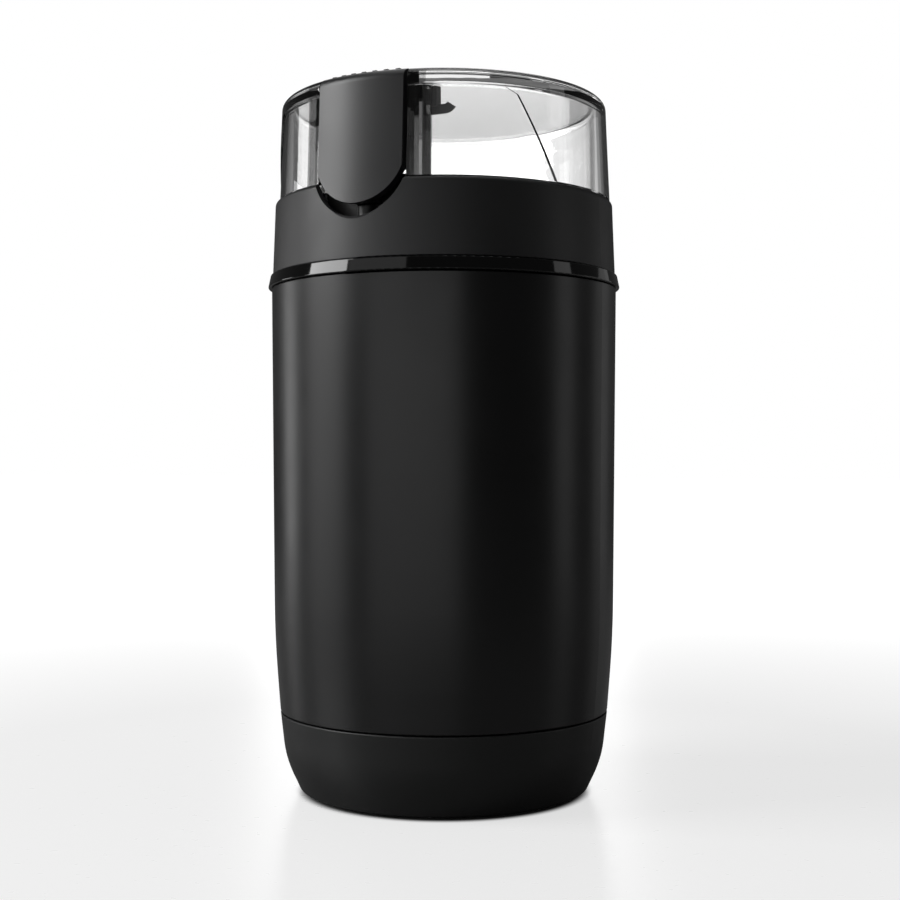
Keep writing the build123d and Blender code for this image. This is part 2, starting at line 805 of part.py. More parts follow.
def lid_shell():
    """The clear cap, with the button's channel let into its front and a shallow panel beside it."""
    skirt_bottom = lid_bottom - lid_skirt_depth
    hollow = turned(
        (0, skirt_bottom - 1), (skirt_inner, skirt_bottom - 1),
        (lid_top_inner_radius, lid_ceiling, lid_inner_round), (0, lid_ceiling),
    )
    channel_outer = channel_half + channel_wall
    channel_rear = channel_back - channel_back_wall
    far_front = -2 * lid_bottom_radius
    channel = block((-channel_outer, channel_outer), (far_front, -channel_rear), (skirt_bottom, lid_top))
    shape = lid_envelope() - hollow + (channel & lid_envelope())
    through = (skirt_bottom - 1, lid_top + 1)
    shape -= block((-channel_half, channel_half), (far_front, -channel_back), through)
    shelf_low = shelf_top - spring_shelf_thickness
    shelf_front = -spring_place() - button_spring_radius - 1
    shelf_rear = 0.2 - channel_back
    half = spring_shelf_half
    shape += block((-half, half), (shelf_front, shelf_rear), (shelf_low, shelf_top))
    rib_face = make_face(Polyline(
        (0, shelf_rear, shelf_low), (0, shelf_front + 1, shelf_low),
        (0, shelf_rear, shelf_low - spring_rib_drop), close=True,
    ))
    rib = extrude(rib_face, spring_rib, both=True)
    shape += [Pos(side * (half - spring_rib), 0, 0) * rib for side in (-1, 1)]
    shape += bar(spring_peg(), shelf_top - 0.5, shelf_top + 1.6, 0, -spring_place())
    window_low = neck_bottom() - press_travel - neck_window_gap
    for side in (-1, 1):
        edges = (side * (neck_inner - neck_window_gap), side * (neck_outer + neck_window_gap))
        shape -= block(sorted(edges), (-channel_back - 1, 1 - channel_rear), (window_low, lid_ceiling))
    return shape - side_panels()


def side_panels():
    """The shallow recess that flanks the button's channel, with slanted ends."""
    bottom = lid_bottom
    top = lid_top - panel_top_drop
    middle = (bottom + top) / 2
    slope = (lid_bottom_radius - lid_top_radius) / lid_height
    outside = lid_bottom_radius + 5
    face_radius = lid_bottom_radius - panel_depth
    outer = turned(
        (outside, bottom - 0.01), (outside, top), (face_radius - slope * (top - bottom), top),
        (face_radius, bottom - 0.01),
    )
    low_half = lid_bottom_radius - panel_bottom_inset
    middle_half = lid_bottom_radius - panel_middle_inset
    high_half = lid_bottom_radius - panel_top_inset
    lean_half = high_half + panel_corner_lean
    edges = [
        Line((panel_corner - high_half, 0, top), (high_half - panel_corner, 0, top)),
        Line((-low_half, 0, bottom), (low_half, 0, bottom)),
    ]
    for side in (-1, 1):
        low = (side * low_half, 0, bottom)
        corner = (side * lean_half, 0, top - panel_corner)
        edges.append(ThreePointArc(low, (side * middle_half, 0, middle), corner))
        edges.append(Line(corner, (side * (high_half - panel_corner), 0, top)))
    window = extrude(make_face(edges), outside, dir=(0, -1, 0))
    return outer & (window - block((-outside, outside), (-6, 1), (0, lid_top + 1)))


def spring_place():
    """How far forward of the axis the button's spring stands."""
    return channel_back + button_spring_radius + button_spring_wire / 2 + 0.5


def spring_peg():
    """The radius of the two pegs that hold the ends of the button's spring."""
    return button_spring_radius - button_spring_wire / 2 - spring_peg_inset


def neck_bottom():
    """The underside of the necks that join button and yoke."""
    return lid_ceiling - touch_gap - yoke_height + 0.3


def tab_outline(half, tip_radius, bottom, top):
    """The button's front view: straight sides and a round tip."""
    middle = bottom + tip_radius
    side_low = middle - sqrt(tip_radius ** 2 - half ** 2)
    return make_face([
        ThreePointArc((-half, 0, side_low), (0, 0, bottom), (half, 0, side_low)),
        Line((half, 0, side_low), (half, 0, top)),
        Line((half, 0, top), (-half, 0, top)),
        Line((-half, 0, top), (-half, 0, side_low)),
    ])


def press_button():
    """The thumb button: a curved tab, a ribbed pad, side walls, necks for the yoke and a foot."""
    slope = (lid_bottom_radius - lid_top_radius) / lid_height
    low_radius = lid_bottom_radius + tab_proud + slope * (lid_bottom - tab_bottom)
    high_radius = lid_top_radius + tab_proud
    pad_rear = channel_back + touch_gap
    core = pad_rear - 3
    above = lid_top + 5
    wide = (-low_radius, low_radius)
    solid = turned(
        (core, tab_bottom - 1), (low_radius, tab_bottom - 1), (high_radius, lid_top, tab_top_round),
        (core, lid_top),
    )
    outline = tab_outline(tab_half, tab_tip_radius, tab_bottom, above)
    solid = solid & extrude(outline, 2 * low_radius, dir=(0, -1, 0))
    solid = solid & block(wide, (-2 * low_radius, -pad_rear), (0, above))
    inside = turned(
        (0, 0), (low_radius - tab_wall + slope * (tab_bottom - 1), 0), (high_radius - tab_wall, pad_bottom),
        (0, pad_bottom),
    )
    pocket_half = tab_half - tab_side_wall
    solid -= inside & block((-pocket_half, pocket_half), (-low_radius, 0), (0, pad_bottom))
    solid -= inside & block(wide, (-low_radius, 0), (0, lid_bottom + 2))
    rear = plunger_place - plunger_radius
    half = button_foot_half
    foot_top = button_foot_bottom + button_foot_height
    foot = block((-half, half), (-low_radius, -rear), (button_foot_bottom, foot_top))
    half_rib = foot_stiffener / 2
    rib_top = foot_top + foot_stiffener_height
    foot += block((-half_rib, half_rib), (-low_radius, -rear - 1.5), (button_foot_bottom + 1, rib_top))
    wall = turned((core, 0), (low_radius - 0.5, 0), (high_radius - 0.5, lid_top), (core, lid_top))
    solid += foot & (inside + wall)
    bottom = neck_bottom()
    hook_rear = channel_back_wall + touch_gap - channel_back
    for side in (-1, 1):
        sides = sorted((side * neck_inner, side * neck_outer))
        solid += block(sides, (-channel_back - neck_depth, -channel_back), (bottom, pad_bottom + 0.5))
        solid += block(sides, (-channel_back - 1, hook_rear), (bottom, bottom + neck_height))
    solid += bar(spring_peg(), pad_bottom - 1.6, pad_bottom + 0.5, 0, -spring_place())
    half_grip = grip_width / 2
    for number in range(grip_count):
        place = (number - (grip_count - 1) / 2) * grip_pitch
        front = sqrt((high_radius - tab_top_round) ** 2 - place ** 2)
        sides = (place - half_grip, place + half_grip)
        solid += block(sides, (-front, -pad_rear - 0.6), (lid_top - 0.5, lid_top + grip_height))
    return solid


def button_yoke():
    """The clip behind the channel that keeps the button in the lid, with a sprung hook at each end."""
    front = channel_back - channel_back_wall - touch_gap
    rear = front - yoke_depth
    top = lid_ceiling - touch_gap
    end_bottom = top - yoke_end_height
    shape = block((-yoke_half, yoke_half), (-front, -rear), (top - yoke_height, top))
    end = block((yoke_half - yoke_end_width, yoke_half), (-front, -rear), (end_bottom, top))
    root = yoke_half - clip_root
    hook_height = end_bottom - clip_drop + clip_thickness / 2
    end += block((root, root + 1), (-front, -rear), (end_bottom - clip_drop, end_bottom + 0.5))
    bend = Vector(yoke_half + clip_straight, 0, hook_height)
    tip = Vector(yoke_half + clip_reach, 0, hook_height + clip_rise)
    line = Wire([Line((root, 0, hook_height), bend), TangentArc(bend, tip, tangent=(1, 0, 0))])
    strip = Plane(origin=(root, 0, hook_height), z_dir=(1, 0, 0)) * Rectangle(yoke_depth, clip_thickness)
    end += Pos(0, -(front + rear) / 2, 0) * sweep(strip, path=line)
    return shape + end + mirror(end, Plane.YZ)


def spring_on_button():
    """The coil spring that lifts the button."""
    return Pos(0, -spring_place(), 0) * coil_spring(
        button_spring_radius, button_spring_wire, button_spring_turns,
        shelf_top + seat_gap / 2, pad_bottom - seat_gap / 2, "button spring",
    )


def switch_plunger():
    """The pin under the button: a thick head, a stop flange and a thin rod down to the switch."""
    flange_top = plunger_top - plunger_head_length
    flange_bottom = flange_top - plunger_flange
    shape = turned(
        (0, rod_tip()), (rod_radius, rod_tip(), 0.5), (rod_radius, flange_bottom),
        (plunger_flange_radius, flange_bottom), (plunger_flange_radius, flange_top),
        (plunger_radius, flange_top), (plunger_radius, plunger_top, 0.6), (0, plunger_top),
    )
    return Pos(0, -plunger_place, 0) * shape


def lever_height():
    """The height of the lever's top under the plunger's rod, at rest."""
    slant = radians(lever_angle)
    return switch_top + hinge_rise + hinge_arm * sin(slant) / cos(slant) + lever_thickness / 2 / cos(slant)


def rod_tip():
    """The lower end of the plunger's rod, just above the lever."""
    return lever_height() + rod_radius * sin(radians(lever_angle)) + touch_gap


def spring_on_plunger():
    """The hidden spring under the plunger's flange, a closed solid of the coil's outer form."""
    bottom = guide_shelf_bottom() + guide_shelf + seat_gap / 2
    top = plunger_top - plunger_head_length - plunger_flange - seat_gap / 2
    spring = turned(
        (plunger_spring_inner, bottom), (plunger_spring_radius, bottom), (plunger_spring_radius, top),
        (plunger_spring_inner, top),
    )
    return Pos(0, -plunger_place, 0) * spring


def microswitch():
    """The sealed switch: a flat box with two pin holes and the lever's hinge ears."""
    bottom = switch_top - switch_height
    front = -switch_offset - switch_depth / 2
    rear = front + switch_depth
    half = switch_length / 2
    shape = block((-half, half), (front, rear), (bottom, switch_top))
    pin_height = bottom + switch_pin_rise
    hole = switch_pin_radius + seat_gap / 2
    for side in (-1, 1):
        shape -= along_y(hole, front - 1, rear + 1, side * switch_pin_spacing / 2, pin_height)
    well_bottom = switch_top - actuator_grip - actuator_travel - touch_gap
    well_x = actuator_arm - hinge_arm
    shape -= bar(actuator_radius + running_gap, well_bottom, switch_top + 1, well_x, -switch_offset)
    hinge_z = switch_top + hinge_rise
    half_ear = ear_width / 2
    ear_sides = (-hinge_arm - half_ear, half_ear - hinge_arm)
    ear_top = hinge_z + ear_height
    ear = block(ear_sides, (lever_width / 2 + touch_gap, switch_depth / 2), (switch_top - 0.5, ear_top))
    shape += [Pos(0, -switch_offset, 0) * ear, Pos(0, -switch_offset, 0) * mirror(ear, Plane.XZ)]
    return shape + along_y(hinge_pin_radius, front + 0.2, rear - 0.2, -hinge_arm, hinge_z)


def switch_terminals():
    """Three blade terminals under the switch."""
    bottom = switch_top - switch_height
    half = contact_width / 2
    blade = block((-contact_thickness / 2, contact_thickness / 2), (-half, half), (-contact_length, 0))
    blade -= Pos(0, 0, -contact_length * 0.7) * Rot(0, 90, 0) * Cylinder(half / 2, contact_width)
    places = [Pos(step * contact_spacing, -switch_offset, bottom) for step in (-1, 0, 1)]
    return separate([place * blade for place in places])


def switch_lever():
    """The spring-steel strip over the switch, rolled to an eye at its hinge."""
    hinge_z = switch_top + hinge_rise
    eye_inner = hinge_pin_radius + running_gap
    half_width = lever_width / 2
    half_sheet = lever_thickness / 2
    eye = along_y(eye_inner + hinge_eye_wall, -half_width, half_width)
    eye -= along_y(eye_inner, -half_width - 1, half_width + 1)
    strip = block((eye_inner + 0.1, lever_length), (-half_width, half_width), (-half_sheet, half_sheet))
    return Pos(-hinge_arm, -switch_offset, hinge_z) * Rot(0, -lever_angle, 0) * (eye + strip)


def switch_actuator():
    """The small pin in the top of the switch that the lever pushes in."""
    bottom = switch_top - actuator_grip
    top = switch_top + actuator_rise
    pin = turned((0, bottom), (actuator_radius, bottom), (actuator_radius, top, 0.4), (0, top))
    return Pos(actuator_arm - hinge_arm, -switch_offset, 0) * pin


def at_bolts(shape):
    """A shape at each of the motor's two bolts, on one diagonal."""
    return [Pos(side * bolt_x, side * bolt_y, 0) * shape for side in (-1, 1)]


def at_mounts(shape):
    """A shape at each of the motor's two mounts, on the other diagonal."""
    return [Rot(0, 0, turn) * Pos(mount_circle, 0, 0) * shape for turn in (180 - bolt_angle, -bolt_angle)]


def stator_core():
    """The laminated field frame: a rounded ring with two poles that reach in to the rotor."""
    frame = RectangleRounded(stator_length, stator_width, stator_corner)
    window = (stator_length - 2 * stator_frame, stator_width - 2 * stator_frame)
    frame -= RectangleRounded(*window, stator_corner - 1)
    pole = Rectangle(stator_length - stator_frame, pole_width)
    shoe_outer = stator_bore + pole_shoe
    opening = Rectangle(2 * shoe_outer, shoe_outer / 2)
    shoe = Circle(shoe_outer) - [Pos(0, side * shoe_outer, 0) * opening for side in (-1, 1)]
    plan = frame + pole + shoe - Circle(stator_bore)
    shape = Pos(0, 0, stator_bottom) * extrude(plan, stator_height)
    return shape - at_bolts(bar(motor_bolt_radius + bolt_hole_gap, stator_bottom - 1, stator_top + 1))


def field_coils():
    """Two wound coils, one round each pole."""
    inner_y = pole_width / 2 + coil_gap
    inner_z = stator_height / 2 + coil_gap
    outer = RectangleRounded(2 * (inner_y + coil_side), 2 * (inner_z + coil_height), coil_corner)
    plan = outer - RectangleRounded(2 * inner_y, 2 * inner_z, coil_window_corner)
    start = stator_bore + pole_shoe + touch_gap
    middle = (stator_top + stator_bottom) / 2
    side = Plane(origin=(start, 0, middle), x_dir=(0, 1, 0), z_dir=(1, 0, 0))
    coil = side * extrude(plan, coil_width)
    return separate([coil, mirror(coil, Plane.YZ)])


def bracket_arm(plate_bottom, plate_top, reach, angle):
    """One arm of a motor bracket, from its hub outwards."""
    half = bracket_arm_width / 2
    arm = block((0, reach), (-half, half), (plate_bottom, plate_top))
    return Rot(0, 0, angle) * (arm + bar(half, plate_bottom, plate_top, reach))


def upper_bracket():
    """The die-cast bridge over the rotor: two legs to the stator and two ears under the dampers."""
    bottom = bracket_top - bracket_plate
    reach = hypot(bolt_x, bolt_y)
    hub_bottom = bracket_top - bearing_height - bearing_cap
    shape = bar(bracket_hub_radius, hub_bottom, bracket_top)
    for turn in (bolt_angle, 180 + bolt_angle):
        shape += bracket_arm(bottom, bracket_top, reach, turn)
    for turn in (-bolt_angle, 180 - bolt_angle):
        shape += bracket_arm(bottom, bracket_top, mount_circle, turn)
    shape += at_bolts(bar(motor_leg_radius, stator_top, bottom + 0.5))
    shape -= at_bolts(bar(motor_bolt_radius + bolt_hole_gap, stator_top - 1, bracket_top + 1))
    shape -= at_mounts(bar(screw_radius + mount_hole_gap, bottom - 1, bracket_top + 1))
    shape -= bar(bearing_radius + thread_gap, hub_bottom - 1, hub_bottom + bearing_height)
    return shape - bar(shaft_radius + shaft_hole_gap, hub_bottom - 1, bracket_top + 1)


def lower_bracket():
    """The moulded bridge under the rotor, with a shelf for each brush holder."""
    plate_top = lower_plate_bottom + bracket_plate
    hub_bottom = lower_plate_bottom - bearing_cap - hub_skirt
    shape = bar(bracket_hub_radius, hub_bottom, plate_top)
    for turn in (bolt_angle, 180 + bolt_angle):
        shape += bracket_arm(lower_plate_bottom, plate_top, hypot(bolt_x, bolt_y), turn)
    shape += at_bolts(bar(motor_leg_radius, plate_top - 0.5, stator_bottom))
    rest = brush_middle() - brush_thickness / 2 - holder_wall - 2 * holder_play
    start = commutator_radius + holder_start + 1
    end = commutator_radius + holder_start + holder_length
    half = brush_width / 2 + holder_wall
    rail_top = lower_plate_bottom + holder_rail
    for side in (-1, 1):
        shape += block(sorted((side * 5, side * end)), (-half, half), (lower_plate_bottom, rail_top))
        shape += block(sorted((side * start, side * end)), (-half, half), (rest - holder_shelf, rest))
        post = sorted((side * start, side * (start + holder_post)))
        shape += block(post, (-half, half), (lower_plate_bottom, rest - 1))
    shape -= at_bolts(bar(motor_bolt_radius + bolt_hole_gap, lower_plate_bottom - 1, stator_bottom + 1))
    shape -= bar(bearing_radius + thread_gap, plate_top - bearing_height, plate_top + 1)
    return shape - bar(shaft_radius + shaft_hole_gap, hub_bottom - 1, plate_top)


def brush_middle():
    """The height of the brushes, at the middle of the commutator."""
    return commutator_bottom + commutator_height / 2


def bearing(bottom):
    """A plain sintered bush."""
    bore = shaft_radius + running_gap / 2
    top = bottom + bearing_height
    return turned((bore, bottom), (bearing_radius, bottom), (bearing_radius, top), (bore, top))


def upper_bearing():
    """The bush in the upper bracket's hub."""
    return bearing(bracket_top - bearing_height - bearing_cap)


def lower_bearing():
    """The bush in the lower bracket's hub."""
    return bearing(lower_plate_bottom + bracket_plate - bearing_height)


def motor_bolts():
    """Two long bolts that clamp both brackets to the stator."""
    length = bracket_top - lower_plate_bottom - 0.5
    bolt = screw(bolt_head_radius, motor_head_height, motor_bolt_radius, length)
    return separate(at_bolts(Pos(0, 0, lower_plate_bottom) * bolt))


def mount_screws():
    """Two screws that hang the motor from the carrier, through the dampers."""
    length = bracket_plate + damper_height + mount_boss_height + 0.8
    one = screw(mount_head_radius, motor_head_height, screw_radius, length)
    return separate(at_mounts(Pos(0, 0, bracket_top - bracket_plate) * one))


def motor_dampers():
    """Two rubber rings between the motor's bracket and the carrier."""
    bore = screw_radius + mount_hole_gap
    ring = turned(
        (bore, bracket_top), (damper_radius, bracket_top), (damper_radius, mount_top), (bore, mount_top),
    )
    return separate(at_mounts(ring))


def brush_holders():
    """Two square brass tubes that aim the brushes at the commutator."""
    start = commutator_radius + holder_start
    end = start + holder_length
    half_y = brush_width / 2 + holder_play
    half_z = brush_thickness / 2 + holder_play
    outer_y = half_y + holder_wall
    outer_z = half_z + holder_wall
    middle = brush_middle()
    tube = block((start, end), (-outer_y, outer_y), (middle - outer_z, middle + outer_z))
    tube -= block((start - 1, end - holder_wall), (-half_y, half_y), (middle - half_z, middle + half_z))
    return separate([tube, mirror(tube, Plane.YZ)])


def carbon_brushes():
    """Two carbon blocks that slide in the holders."""
    start = commutator_radius + brush_gap
    middle = brush_middle()
    brush = block(
        (start, start + brush_length), (-brush_width / 2, brush_width / 2),
        (middle - brush_thickness / 2, middle + brush_thickness / 2),
    )
    return separate([brush, mirror(brush, Plane.YZ)])


def brush_springs():
    """The short springs behind the brushes, closed solids of the coil's outer form."""
    start = commutator_radius + brush_gap + brush_length
    end = commutator_radius + holder_start + holder_length - holder_wall
    tube = Cylinder(brush_spring_radius, end - start) - Cylinder(brush_spring_radius - brush_spring_wall, end)
    spring = Pos((start + end) / 2, 0, brush_middle()) * Rot(0, 90, 0) * tube
    return separate([spring, mirror(spring, Plane.YZ)])


def rotor_shaft():
    """The steel shaft, from the fan up to the nut."""
    bottom = fan_bottom() - shaft_tail
    top = blade_bottom() + blade_thickness + nut_height - nut_crown
    edge = shaft_radius - shaft_chamfer
    return turned(
        (0, bottom), (edge, bottom), (shaft_radius, bottom + shaft_chamfer),
        (shaft_radius, top - shaft_chamfer), (edge, top), (0, top),
    )


def blade_bottom():
    """The underside of the blade."""
    return bowl_floor + hub_rise + seal_flange + blade_hub_rise + blade_hub_height


def rotor_core():
    """The slotted laminated armature."""
    top = rotor_bottom + rotor_height
    half = rotor_slot_width / 2
    through = (rotor_bottom - 1, top + 1)
    slot = block((rotor_radius - rotor_slot_depth, rotor_radius + 1), (-half, half), through)
    core = bar(rotor_radius, rotor_bottom, top) - bar(shaft_radius, *through)
    return core - around(slot, rotor_slots)


def rotor_windings():
    """The end turns above and below the armature."""
    top = rotor_bottom + rotor_height
    inner = shaft_radius + 1.0
    crown = winding_radius - winding_height / 2
    upper = turned(
        (inner, top), (winding_radius, top), (winding_radius, top + winding_height / 2),
        (crown, top + winding_height), (inner, top + winding_height),
    )
    low = commutator_bottom + commutator_height + touch_gap
    lower = turned(
        (inner, low), (crown, low), (winding_radius, (low + rotor_bottom) / 2),
        (winding_radius, rotor_bottom), (inner, rotor_bottom),
    )
    return separate([upper, lower])


def commutator():
    """The copper drum, with a slot between each pair of bars."""
    top = commutator_bottom + commutator_height
    through = (commutator_bottom - 1, top + 1)
    drum = bar(commutator_radius, commutator_bottom, top) - bar(shaft_radius, *through)
    half = commutator_slot / 2
    slot = block((commutator_radius - commutator_slot_depth, commutator_radius + 1), (-half, half), through)
    return drum - around(slot, commutator_bars)


def fan_bottom():
    """The underside of the cooling fan."""
    return lower_plate_bottom - bearing_cap - hub_skirt - fan_drop - fan_height


def cooling_fan():
    """The radial fan on the lower end of the shaft, its vanes swept back."""
    bottom = fan_bottom()
    top = bottom + fan_height
    hub = bar(fan_hub_radius, bottom, top)
    plate = bar(fan_radius, bottom, bottom + fan_plate)
    inner_end = (fan_hub_radius - 0.4, 0, 0)
    outer_end = (fan_radius - 0.4, 8.0, 0)
    vane_line = ThreePointArc(inner_end, (fan_radius * 0.61, 2.6, 0), outer_end)
    vane = Pos(0, 0, bottom) * extrude(trace(vane_line, vane_thickness), fan_height - 0.6)
    shape = hub + plate + around(vane & bar(fan_radius, bottom, top), fan_blades)
    return shape - bar(shaft_radius, bottom - 1, top + 1)


def blade_hub():
    """The moulded boss that the blade sits on."""
    bottom = bowl_floor + hub_rise + seal_flange + blade_hub_rise
    top = blade_bottom()
    return turned(
        (shaft_radius, bottom), (blade_hub_radius - 1, bottom), (blade_hub_radius, bottom + 1),
        (blade_hub_radius, top), (shaft_radius, top),
    )


def blade():
    """The two-armed steel blade, with its arms lifted and twisted towards their tips."""
    bottom = blade_bottom()
    middle = bottom + blade_thickness / 2

    def section(x, width, rise, twist):
        across = (0, cos(radians(twist)), sin(radians(twist)))
        plane = Plane(origin=(x, 0, middle + rise), x_dir=across, z_dir=(1, 0, 0))
        return plane * Rectangle(width, blade_thickness)

    def arm(rise, twist):
        root = section(2.0, blade_root_width, 0, 0)
        bend = section(blade_bend_radius, (blade_root_width + blade_tip_width) / 2 + 0.6, 0, 0)
        tip = section(blade_span + 1, blade_tip_width, rise, twist)
        return loft([root, bend], ruled=True) + loft([bend, tip], ruled=True)

    round_tips = bar(blade_span, bottom - 10, bottom + 15)
    shape = bar(blade_root_width / 2 + 0.8, bottom, bottom + blade_thickness)
    shape += arm(blade_tip_rise, blade_twist) & round_tips
    shape += Rot(0, 0, 180) * (arm(blade_tip_rise, blade_twist) & round_tips)
    return shape - bar(shaft_radius, bottom - 1, bottom + blade_thickness + 1)


def blade_nut():
    """The domed nut on the end of the shaft."""
    bottom = blade_bottom() + blade_thickness
    top = bottom + nut_height
    outline = RegularPolygon(nut_across_flats / 2, 6, major_radius=False)
    hexagon = Pos(0, 0, bottom) * extrude(outline, nut_height)
    low_radius = nut_across_flats * 0.6
    high_radius = nut_across_flats * 0.56
    dome = turned((0, bottom), (low_radius, bottom), (high_radius, top, nut_dome_round), (0, top))
    return (hexagon & dome) - bar(shaft_radius, bottom - 1, top - nut_crown + 0.2)


def noise_capacitor():
    """The interference capacitor, on the base's floor."""
    return box_on_floor(capacitor_length, capacitor_depth, capacitor_height, foot_angle + 180)


def terminal_block():
    """The terminals that join the cord to the inner wires."""
    top = base_bottom + base_floor + terminal_height
    shape = box_on_floor(terminal_length, terminal_depth, terminal_height, foot_angle)
    for side in (-1, 1):
        aside = side * terminal_length / 4
        well = bar(terminal_well_radius, top - terminal_well_depth, top + 1, box_circle, aside)
        shape -= Rot(0, 0, foot_angle) * well
    return shape


def box_on_floor(length, depth, height, angle):
    """A rounded box that stands on the base's floor, its long side across the radius."""
    body = extrude(RectangleRounded(depth, length, box_edge), height)
    return Rot(0, 0, angle) * Pos(box_circle, 0, base_bottom + base_floor) * body


nodes = {
    "base_cap": base_cap,
    "rubber_feet": rubber_feet,
    "base_screws": base_screws,
    "cord_bush": cord_bush,
    "main_housing": main_housing,
    "trim_ring": trim_ring,
    "collar": collar,
    "collar_screws": collar_screws,
    "bowl_carrier": bowl_carrier,
    "switch_bracket": switch_bracket,
    "grinding_bowl": grinding_bowl,
    "bowl_gasket": bowl_gasket,
    "shaft_seal": shaft_seal,
    "stator_core": stator_core,
    "field_coils": field_coils,
    "upper_bracket": upper_bracket,
    "lower_bracket": lower_bracket,
    "upper_bearing": upper_bearing,
    "lower_bearing": lower_bearing,
    "motor_bolts": motor_bolts,
    "mount_screws": mount_screws,
    "motor_dampers": motor_dampers,
    "brush_holders": brush_holders,
    "carbon_brushes": carbon_brushes,
    "brush_springs": brush_springs,
    "microswitch": microswitch,
    "switch_terminals": switch_terminals,
    "noise_capacitor": noise_capacitor,
    "terminal_block": terminal_block,
    "rotor_shaft": rotor_shaft,
    "rotor_core": rotor_core,
    "rotor_windings": rotor_windings,
    "commutator": commutator,
    "cooling_fan": cooling_fan,
    "blade_hub": blade_hub,
    "blade": blade,
    "blade_nut": blade_nut,
    "lid_shell": lid_shell,
    "press_button": press_button,
    "button_yoke": button_yoke,
    "button_spring": spring_on_button,
    "switch_plunger": switch_plunger,
    "plunger_spring": spring_on_plunger,
    "switch_lever": switch_lever,
    "switch_actuator": switch_actuator,
}

os.makedirs("parts", exist_ok=True)
for name, make in nodes.items():
    export_step(make(), f"parts/{name}.step")
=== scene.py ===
from math import atan, cos, pi, radians, sin, tan

import bmesh
import bpy
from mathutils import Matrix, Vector


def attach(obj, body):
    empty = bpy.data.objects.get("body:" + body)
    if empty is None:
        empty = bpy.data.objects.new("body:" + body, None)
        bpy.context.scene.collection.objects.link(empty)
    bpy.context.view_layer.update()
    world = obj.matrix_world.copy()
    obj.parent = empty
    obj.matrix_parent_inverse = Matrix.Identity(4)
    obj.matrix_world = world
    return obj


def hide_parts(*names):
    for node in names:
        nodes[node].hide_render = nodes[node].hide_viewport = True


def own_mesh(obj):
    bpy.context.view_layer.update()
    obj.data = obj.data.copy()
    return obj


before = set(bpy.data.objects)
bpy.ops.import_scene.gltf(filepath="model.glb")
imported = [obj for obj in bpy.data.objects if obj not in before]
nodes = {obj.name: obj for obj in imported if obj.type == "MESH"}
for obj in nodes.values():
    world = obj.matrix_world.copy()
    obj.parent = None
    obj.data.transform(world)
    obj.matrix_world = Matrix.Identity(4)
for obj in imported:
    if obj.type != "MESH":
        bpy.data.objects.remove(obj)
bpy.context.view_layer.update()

# Base cap, and the gland in its back.
# Both are moulded in black ABS. The cap carries the feet and is screwed up into the housing from
# below, and the gland sits in its back wall, where the cord goes in.
mm = 0.001


def linear(code):
    """The linear colour of an sRGB hex code, by the sRGB standard's own curve."""
    channels = [int(code[place:place + 2], 16) / 255 for place in (0, 2, 4)]
    return [c / 12.92 if c <= 0.04045 else ((c + 0.055) / 1.055) ** 2.4 for c in channels] + [1]


def add(material, kind, inputs, **settings):
    """Adds a node. Inputs are its sockets' values, or the sockets of other nodes that feed them."""
    node = material.node_tree.nodes.new(kind)
    for name, value in settings.items():
        setattr(node, name, value)
    for socket, value in inputs.items():
        if isinstance(value, bpy.types.NodeSocket):
            material.node_tree.links.new(value, node.inputs[socket])
        else:
            node.inputs[socket].default_value = value
    return node


def start(name):
    """A bare material, and the place on the object that its patterns read."""
    material = bpy.data.materials.new(name)
    material.use_nodes = True
    material.node_tree.nodes.clear()
    place = add(material, "ShaderNodeTexCoord", {}).outputs["Object"]
    return material, place


def dress(material, *names):
    """Gives CAD nodes their material."""
    for name in names:
        for mesh_slot in nodes[name].material_slots:
            mesh_slot.link = "OBJECT"
            mesh_slot.material = material


def moulded(name, colour, rough, grain_width, grain_depth):
    """A moulded plastic: one colour, a grain in its surface, and a little unevenness in its gloss."""
    cloud_width = 14 * mm
    cloud_low = 0.35              # nearly all of the cloud's values lie between these two
    cloud_high = 0.65
    gloss_swing = 0.05
    material, place = start(name)
    cloud = add(material, "ShaderNodeTexNoise", {
        "Vector": place, "Scale": 1 / cloud_width, "Detail": 2.0,
    })
    gloss = add(material, "ShaderNodeMapRange", {
        "Value": cloud.outputs[0], "From Min": cloud_low, "From Max": cloud_high,
        "To Min": rough * (1 - gloss_swing), "To Max": rough * (1 + gloss_swing),
    })
    grain = add(material, "ShaderNodeTexNoise", {
        "Vector": place, "Scale": 1 / grain_width, "Detail": 3.0, "Roughness": 0.6,
    })
    bump = add(material, "ShaderNodeBump", {
        "Height": grain.outputs[0], "Strength": 1.0, "Distance": grain_depth,
    })
    surface = add(material, "ShaderNodeBsdfPrincipled", {
        "Base Color": linear(colour), "Roughness": gloss.outputs[0], "Normal": bump.outputs[0],
    })
    add(material, "ShaderNodeOutputMaterial", {"Surface": surface.outputs[0]})
    return material


# ABS from a spark-eroded tool: its pitted grain spreads every reflection into a dull, even sheen.
# The real grain is 0.05 mm wide, and it is drawn coarser so that it shows.
spark_textured_abs = moulded(
    "spark_textured_abs", "0b0c0c", rough=0.48, grain_width=0.35 * mm, grain_depth=0.012 * mm,
)
dress(spark_textured_abs, "base_cap", "cord_bush")

# Feet, bowl gasket, shaft seal and motor dampers.
# Soft black rubber, pressed to shape in a hot mould, and pushed in or trapped between harder pieces.
# Its skin has a dusty bloom, which leaves it nearly without gloss.
pressed_rubber = moulded(
    "pressed_rubber", "141414", rough=0.78, grain_width=0.6 * mm, grain_depth=0.02 * mm,
)
dress(pressed_rubber, "rubber_feet", "bowl_gasket", "shaft_seal", "motor_dampers")

# Main housing.
# A tapered ABS sleeve, moulded in one piece in a finely honed tool.
# The satin skin draws lamps out into soft upright bands that run down it.
satin_abs = moulded(
    "satin_abs", "080809", rough=0.3, grain_width=0.8 * mm, grain_depth=0.002 * mm,
)
dress(satin_abs, "main_housing")

